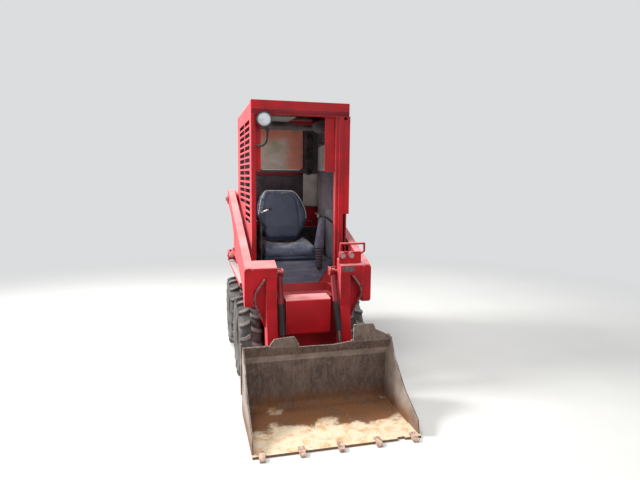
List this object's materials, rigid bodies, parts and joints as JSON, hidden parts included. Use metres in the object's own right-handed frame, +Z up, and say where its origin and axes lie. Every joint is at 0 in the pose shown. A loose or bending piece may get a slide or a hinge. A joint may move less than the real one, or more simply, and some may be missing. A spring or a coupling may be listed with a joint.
{
  "type": "skid steer loader",
  "caption": "Small red skid steer loader with an open cab, lift arms, a rusty toothed bucket and four chevron tyres.",
  "frame": {"origin": "on the ground, in the middle of the machine's box", "axes": "+X to the operator's left, +Y to the rear along the machine's length, +Z up; the bucket is at -Y"},
  "size_m": [0.926, 2.3079, 1.89],
  "materials": {
    "red_paint": "gloss",
    "faded_red": "satin",
    "dark_metal": "satin",
    "worn_steel": "matte",
    "rusty_steel": "matte",
    "chrome_rod": "gloss",
    "engine_iron": "matte",
    "seat_vinyl": "satin",
    "grey_panel": "matte",
    "lamp_body": "matte",
    "window_glass": "gloss",
    "liner_foam": "matte",
    "tyre_rubber": "matte",
    "rim_paint": "satin"
  },
  "bodies": {
    "frame": {"main_frame": "red_paint", "fender_left": "red_paint", "fender_right": "red_paint", "tower_left": "red_paint", "tower_right": "red_paint", "front_box": "red_paint", "engine_block": "engine_iron", "engine_hood": "red_paint", "exhaust_pipe": "dark_metal", "rear_weight": "dark_metal", "cab_frame": "red_paint", "cab_side_left": "red_paint", "cab_side_right": "red_paint", "cab_roof": "red_paint", "cab_back": "red_paint", "rear_window": "window_glass", "headliner": "liner_foam", "seat_pan": "grey_panel", "seat_cushion": "seat_vinyl", "seat_back": "seat_vinyl", "lever_left": "grey_panel", "lever_right": "grey_panel", "work_lamp": "lamp_body"},
    "rear_door": {"rear_door": "red_paint"},
    "lift_arm": {"arm_left": "red_paint", "arm_right": "red_paint", "leg_left": "red_paint", "leg_right": "red_paint", "cross_tube": "red_paint", "lamp_box": "red_paint"},
    "bucket": {"bucket_shell": "rusty_steel", "bucket_teeth": "worn_steel"},
    "lift_barrel_right": {"lift_barrel_right": "dark_metal"},
    "lift_rod_right": {"lift_rod_right": "chrome_rod"},
    "tilt_barrel_right": {"tilt_barrel_right": "dark_metal"},
    "tilt_rod_right": {"tilt_rod_right": "chrome_rod"},
    "lift_barrel_left": {"lift_barrel_left": "dark_metal"},
    "lift_rod_left": {"lift_rod_left": "chrome_rod"},
    "tilt_barrel_left": {"tilt_barrel_left": "dark_metal"},
    "tilt_rod_left": {"tilt_rod_left": "chrome_rod"},
    "wheel_front_right": {"tyre_front_right": "tyre_rubber", "rim_front_right": "rim_paint", "axle_front_right": "worn_steel"},
    "wheel_front_left": {"tyre_front_left": "tyre_rubber", "rim_front_left": "rim_paint", "axle_front_left": "worn_steel"},
    "wheel_rear_right": {"tyre_rear_right": "tyre_rubber", "rim_rear_right": "rim_paint", "axle_rear_right": "worn_steel"},
    "wheel_rear_left": {"tyre_rear_left": "tyre_rubber", "rim_rear_left": "rim_paint", "axle_rear_left": "worn_steel"}
  },
  "joints": [
    {"name": "lift", "type": "hinge", "parent": "frame", "child": "lift_arm", "pos_m": [0, 0.889, 1.2], "axis": [-1, 0, 0], "range_deg": [0, 70]},
    {"name": "tilt", "type": "hinge", "parent": "lift_arm", "child": "bucket", "pos_m": [0, -0.441, 0.13], "axis": [1, 0, 0], "range_deg": [-25, 105]},
    {"name": "door_swing", "type": "hinge", "parent": "frame", "child": "rear_door", "pos_m": [-0.275, 1.104, 0.645], "axis": [0, 0, 1], "range_deg": [0, 110]},
    {"name": "lift_barrel_swing_right", "type": "hinge", "parent": "frame", "child": "lift_barrel_right", "pos_m": [-0.384, 0.984, 0.7], "axis": [-1, 0, 0], "range_deg": [0, 43.3]},
    {"name": "lift_rod_slide_right", "type": "slide", "parent": "lift_barrel_right", "child": "lift_rod_right", "axis": [0, -0.9744, 0.2249], "range_m": [0, 0.452]},
    {"name": "tilt_barrel_swing_right", "type": "hinge", "parent": "lift_arm", "child": "tilt_barrel_right", "pos_m": [-0.181, -0.301, 0.775], "axis": [1, 0, 0], "range_deg": [-2.7, 0.7]},
    {"name": "tilt_rod_slide_right", "type": "slide", "parent": "tilt_barrel_right", "child": "tilt_rod_right", "axis": [0, -0.3881, -0.9216], "range_m": [-0.062, 0.256]},
    {"name": "lift_barrel_swing_left", "type": "hinge", "parent": "frame", "child": "lift_barrel_left", "pos_m": [0.384, 0.984, 0.7], "axis": [-1, 0, 0], "range_deg": [0, 43.3]},
    {"name": "lift_rod_slide_left", "type": "slide", "parent": "lift_barrel_left", "child": "lift_rod_left", "axis": [0, -0.9744, 0.2249], "range_m": [0, 0.452]},
    {"name": "tilt_barrel_swing_left", "type": "hinge", "parent": "lift_arm", "child": "tilt_barrel_left", "pos_m": [0.181, -0.301, 0.775], "axis": [1, 0, 0], "range_deg": [-2.7, 0.7]},
    {"name": "tilt_rod_slide_left", "type": "slide", "parent": "tilt_barrel_left", "child": "tilt_rod_left", "axis": [0, -0.3881, -0.9216], "range_m": [-0.062, 0.256]},
    {"name": "wheel_front_right_roll", "type": "hinge", "parent": "frame", "child": "wheel_front_right", "pos_m": [-0.359, -0.006, 0.28], "axis": [1, 0, 0], "continuous": true},
    {"name": "wheel_front_left_roll", "type": "hinge", "parent": "frame", "child": "wheel_front_left", "pos_m": [0.359, -0.006, 0.28], "axis": [1, 0, 0], "continuous": true},
    {"name": "wheel_rear_right_roll", "type": "hinge", "parent": "frame", "child": "wheel_rear_right", "pos_m": [-0.359, 0.706, 0.28], "axis": [1, 0, 0], "continuous": true},
    {"name": "wheel_rear_left_roll", "type": "hinge", "parent": "frame", "child": "wheel_rear_left", "pos_m": [0.359, 0.706, 0.28], "axis": [1, 0, 0], "continuous": true}
  ],
  "couplings": [
    {"joint": "lift_barrel_swing_right", "follows": "lift", "ratio": 0.618},
    {"joint": "lift_rod_slide_right", "follows": "lift", "m_per_rad": 0.3698},
    {"joint": "tilt_barrel_swing_right", "follows": "tilt", "ratio": -0.0246},
    {"joint": "tilt_rod_slide_right", "follows": "tilt", "m_per_rad": 0.1387},
    {"joint": "lift_barrel_swing_left", "follows": "lift", "ratio": 0.618},
    {"joint": "lift_rod_slide_left", "follows": "lift", "m_per_rad": 0.3698},
    {"joint": "tilt_barrel_swing_left", "follows": "tilt", "ratio": -0.0246},
    {"joint": "tilt_rod_slide_left", "follows": "tilt", "m_per_rad": 0.1387}
  ]
}
